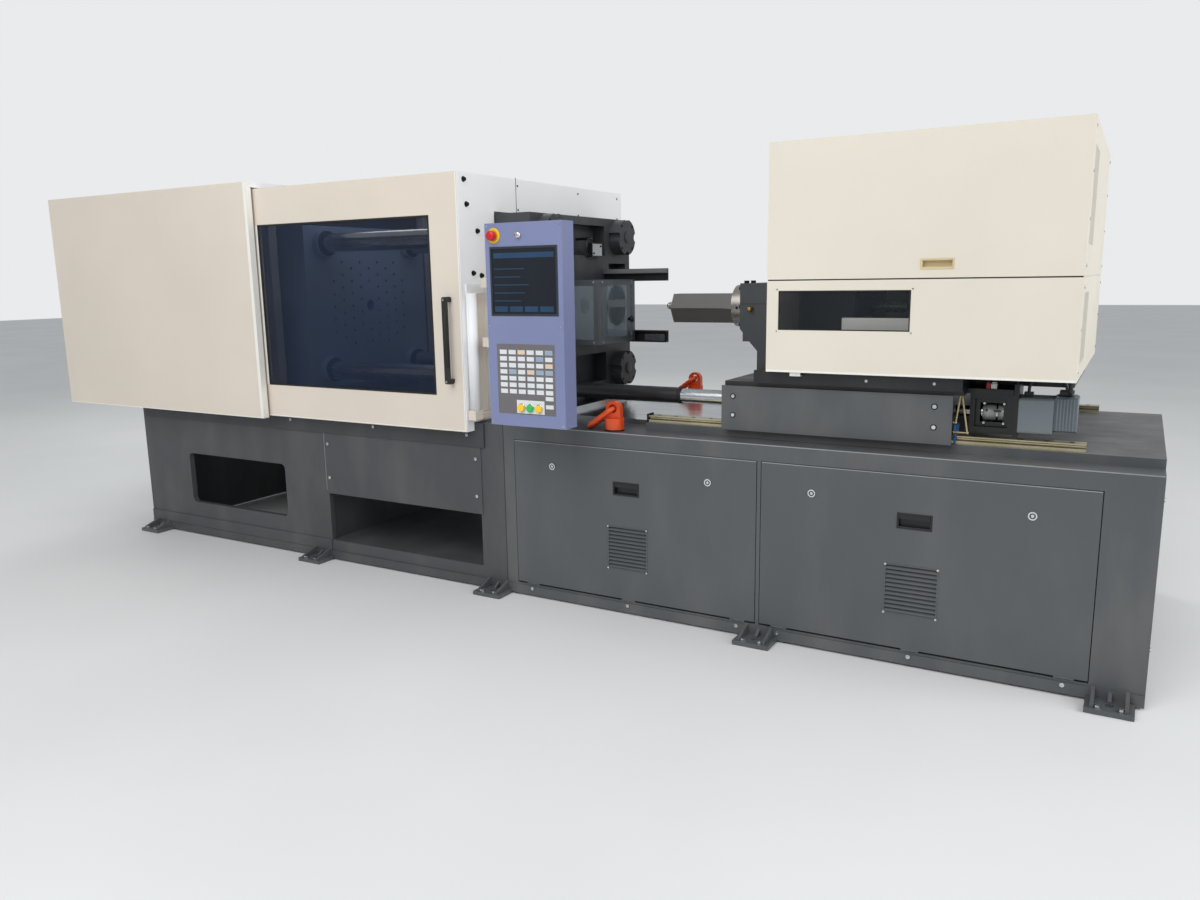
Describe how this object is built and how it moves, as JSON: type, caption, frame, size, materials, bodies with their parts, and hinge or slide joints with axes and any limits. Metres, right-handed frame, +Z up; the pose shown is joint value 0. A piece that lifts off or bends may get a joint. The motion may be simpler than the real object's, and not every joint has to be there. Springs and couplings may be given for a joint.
{
  "type": "injection moulding machine",
  "caption": "Horizontal toggle-clamp injection moulding machine on a long two-part base, with covers, sliding gate, control panel and electric injection unit.",
  "frame": {"origin": "on the floor, midway between the four outer anchor bolts, under the clamp and barrel axis", "axes": "+X along the machine from the clamp to the injection unit, +Y away from the operator's side, +Z up"},
  "size_m": [5.788, 1.785, 1.956],
  "materials": {
    "charcoal_paint": "fine textured powder coat",
    "cream_paint": "satin powder coat",
    "white_paint": "satin powder coat",
    "casting_paint": "painted casting with machined faces",
    "platen_paint": "blue-grey machined casting",
    "black_steel": "black paint",
    "frame_grey": "grey paint",
    "bright_steel": "ground steel",
    "link_steel": "machined links",
    "oiled_rail": "oiled hardened rail",
    "tray_sheet": "bright sheet",
    "chrome": "polished",
    "orange_paint": "gloss paint",
    "smoked_pane": "smoky blue pane",
    "clear_pane": "clear pane",
    "panel_shell": "light grey shell",
    "display": "dark screen",
    "keys": "light keys",
    "yellow_cap": "lit cap",
    "green_cap": "lit cap",
    "red_cap": "moulded cap"
  },
  "bodies": {
    "frame": {"base_clamp": "charcoal_paint", "base_injection": "charcoal_paint", "apron_panels": "charcoal_paint", "foot_brackets": "charcoal_paint", "bed_tray": "tray_sheet", "carriage_rails": "oiled_rail", "rear_platen": "casting_paint", "stationary_platen": "casting_paint", "tie_bars": "bright_steel", "tie_caps": "casting_paint", "clamp_drive": "black_steel", "cover_frame": "frame_grey", "side_covers": "cream_paint", "roof_cover": "white_paint", "portal": "white_paint", "drive_tube": "black_steel", "guard_rails": "black_steel", "panel_arm": "black_steel"},
    "door_a": {"door_a": "charcoal_paint"},
    "door_b": {"door_b": "charcoal_paint"},
    "lock_a1": {"lock_a1": "chrome"},
    "lock_a2": {"lock_a2": "chrome"},
    "lock_b1": {"lock_b1": "chrome"},
    "lock_b2": {"lock_b2": "chrome"},
    "eye_front": {"eye_front": "orange_paint"},
    "ring_front": {"ring_front": "orange_paint"},
    "eye_rear": {"eye_rear": "orange_paint"},
    "ring_rear": {"ring_rear": "orange_paint"},
    "link_rear_up": {"link_rear_up": "link_steel"},
    "link_rear_low": {"link_rear_low": "link_steel"},
    "link_front_up": {"link_front_up": "link_steel"},
    "link_front_low": {"link_front_low": "link_steel"},
    "cross_link_up": {"cross_link_up": "link_steel"},
    "cross_link_low": {"cross_link_low": "link_steel"},
    "crosshead": {"crosshead": "link_steel"},
    "gate_rear": {"gate_rear": "cream_paint"},
    "button_a": {"button_a": "yellow_cap"},
    "button_b": {"button_b": "green_cap"},
    "button_c": {"button_c": "yellow_cap"},
    "estop": {"estop": "red_cap"},
    "screw": {"screw": "bright_steel"},
    "pressure_plate": {"pressure_plate": "casting_paint"},
    "cover_upper": {"cover_upper": "cream_paint"},
    "purge_guard": {"purge_guard": "black_steel"},
    "platen": {"moving_platen": "platen_paint"},
    "gate": {"gate_front": "cream_paint", "gate_pane": "smoked_pane", "gate_handle": "black_steel"},
    "panel": {"panel_housing": "panel_shell", "panel_display": "display", "panel_keys": "keys"},
    "carriage": {"carriage": "black_steel", "side_plates": "charcoal_paint", "feed_casting": "casting_paint", "barrel": "bright_steel", "barrel_cover": "bright_steel", "drive_rod": "bright_steel", "sled_motor": "black_steel", "cover_lower": "cream_paint", "cover_window": "clear_pane"}
  },
  "joints": [
    {"name": "door_a_hinge", "type": "hinge", "parent": "frame", "child": "door_a", "pos_m": [0.664, -0.686, 0.062], "axis": [1, 0, 0], "range_deg": [0, 80]},
    {"name": "lock_a1_turn", "type": "hinge", "parent": "door_a", "child": "lock_a1", "pos_m": [0.287, -0.688, 0.628], "axis": [0, -1, 0], "range_deg": [0, 90]},
    {"name": "lock_a2_turn", "type": "hinge", "parent": "door_a", "child": "lock_a2", "pos_m": [1.038, -0.688, 0.628], "axis": [0, -1, 0], "range_deg": [0, 90]},
    {"name": "door_b_hinge", "type": "hinge", "parent": "frame", "child": "door_b", "pos_m": [1.859, -0.686, 0.062], "axis": [1, 0, 0], "range_deg": [0, 80]},
    {"name": "lock_b1_turn", "type": "hinge", "parent": "door_b", "child": "lock_b1", "pos_m": [1.47, -0.688, 0.628], "axis": [0, -1, 0], "range_deg": [0, 90]},
    {"name": "lock_b2_turn", "type": "hinge", "parent": "door_b", "child": "lock_b2", "pos_m": [2.245, -0.688, 0.628], "axis": [0, -1, 0], "range_deg": [0, 90]},
    {"name": "eye_front_swivel", "type": "hinge", "parent": "frame", "child": "eye_front", "pos_m": [0.57, -0.622, 0.84], "axis": [0, 0, 1], "continuous": true},
    {"name": "ring_front_tilt", "type": "hinge", "parent": "eye_front", "child": "ring_front", "pos_m": [0.57, -0.622, 0.898], "axis": [0, 1, 0], "range_deg": [0, 110]},
    {"name": "eye_rear_swivel", "type": "hinge", "parent": "frame", "child": "eye_rear", "pos_m": [0.395, 0.622, 0.84], "axis": [0, 0, 1], "continuous": true},
    {"name": "ring_rear_tilt", "type": "hinge", "parent": "eye_rear", "child": "ring_rear", "pos_m": [0.395, 0.622, 0.898], "axis": [0, 1, 0], "range_deg": [0, 110]},
    {"name": "platen_slide", "type": "slide", "parent": "frame", "child": "platen", "axis": [1, 0, 0], "range_m": [0, 0.3554]},
    {"name": "link_rear_up_fold", "type": "hinge", "parent": "frame", "child": "link_rear_up", "pos_m": [-1.7842, 0, 1.681], "axis": [0, -1, 0], "range_deg": [0, 40]},
    {"name": "link_front_up_fold", "type": "hinge", "parent": "link_rear_up", "child": "link_front_up", "pos_m": [-1.7321, 0, 1.3856], "axis": [0, 1, 0], "range_deg": [0, 79.99]},
    {"name": "cross_link_up_fold", "type": "hinge", "parent": "link_rear_up", "child": "cross_link_up", "pos_m": [-1.695, 0, 1.5978], "axis": [0, 1, 0], "range_deg": [0, 15.01]},
    {"name": "link_rear_low_fold", "type": "hinge", "parent": "frame", "child": "link_rear_low", "pos_m": [-1.7842, 0, 0.951], "axis": [0, 1, 0], "range_deg": [0, 40]},
    {"name": "link_front_low_fold", "type": "hinge", "parent": "link_rear_low", "child": "link_front_low", "pos_m": [-1.7321, 0, 1.2464], "axis": [0, -1, 0], "range_deg": [0, 79.99]},
    {"name": "cross_link_low_fold", "type": "hinge", "parent": "link_rear_low", "child": "cross_link_low", "pos_m": [-1.695, 0, 1.0342], "axis": [0, -1, 0], "range_deg": [0, 15.01]},
    {"name": "crosshead_slide", "type": "slide", "parent": "frame", "child": "crosshead", "axis": [1, 0, 0], "range_m": [0, 0.1388]},
    {"name": "gate_slide", "type": "slide", "parent": "frame", "child": "gate", "axis": [-1, 0, 0], "range_m": [0, 1.2]},
    {"name": "gate_rear_slide", "type": "slide", "parent": "frame", "child": "gate_rear", "axis": [-1, 0, 0], "range_m": [0, 1.2]},
    {"name": "panel_swing", "type": "hinge", "parent": "frame", "child": "panel", "pos_m": [0.149, -0.86, 1.31], "axis": [0, 0, -1], "range_deg": [0, 75]},
    {"name": "button_a_press", "type": "slide", "parent": "panel", "child": "button_a", "axis": [0, 1, 0], "range_m": [0, 0.004], "stiffness_N_per_m": 600},
    {"name": "button_b_press", "type": "slide", "parent": "panel", "child": "button_b", "axis": [0, 1, 0], "range_m": [0, 0.004], "stiffness_N_per_m": 600},
    {"name": "button_c_press", "type": "slide", "parent": "panel", "child": "button_c", "axis": [0, 1, 0], "range_m": [0, 0.004], "stiffness_N_per_m": 600},
    {"name": "estop_press", "type": "slide", "parent": "panel", "child": "estop", "axis": [0, 1, 0], "range_m": [0, 0.008]},
    {"name": "carriage_slide", "type": "slide", "parent": "frame", "child": "carriage", "axis": [-1, 0, 0], "range_m": [0, 0.35]},
    {"name": "injection_slide", "type": "slide", "parent": "carriage", "child": "pressure_plate", "axis": [-1, 0, 0], "range_m": [0, 0.16]},
    {"name": "screw_turn", "type": "hinge", "parent": "pressure_plate", "child": "screw", "pos_m": [1.7, 0, 1.316], "axis": [1, 0, 0], "continuous": true},
    {"name": "hood_hinge", "type": "hinge", "parent": "carriage", "child": "cover_upper", "pos_m": [1.804, 0.6603, 1.4345], "axis": [-1, 0, 0], "range_deg": [0, 60]},
    {"name": "purge_guard_slide", "type": "slide", "parent": "frame", "child": "purge_guard", "axis": [1, 0, 0], "range_m": [0, 0.17]}
  ],
  "couplings": [
    {"joint": "link_rear_up_fold", "follows": "platen_slide", "rad_per_m": 1.9642},
    {"joint": "link_front_up_fold", "follows": "platen_slide", "rad_per_m": 3.9283},
    {"joint": "cross_link_up_fold", "follows": "platen_slide", "rad_per_m": 0.73728},
    {"joint": "link_rear_low_fold", "follows": "platen_slide", "rad_per_m": 1.9642},
    {"joint": "link_front_low_fold", "follows": "platen_slide", "rad_per_m": 3.9283},
    {"joint": "cross_link_low_fold", "follows": "platen_slide", "rad_per_m": 0.73728},
    {"joint": "crosshead_slide", "follows": "platen_slide", "ratio": 0.39026}
  ]
}
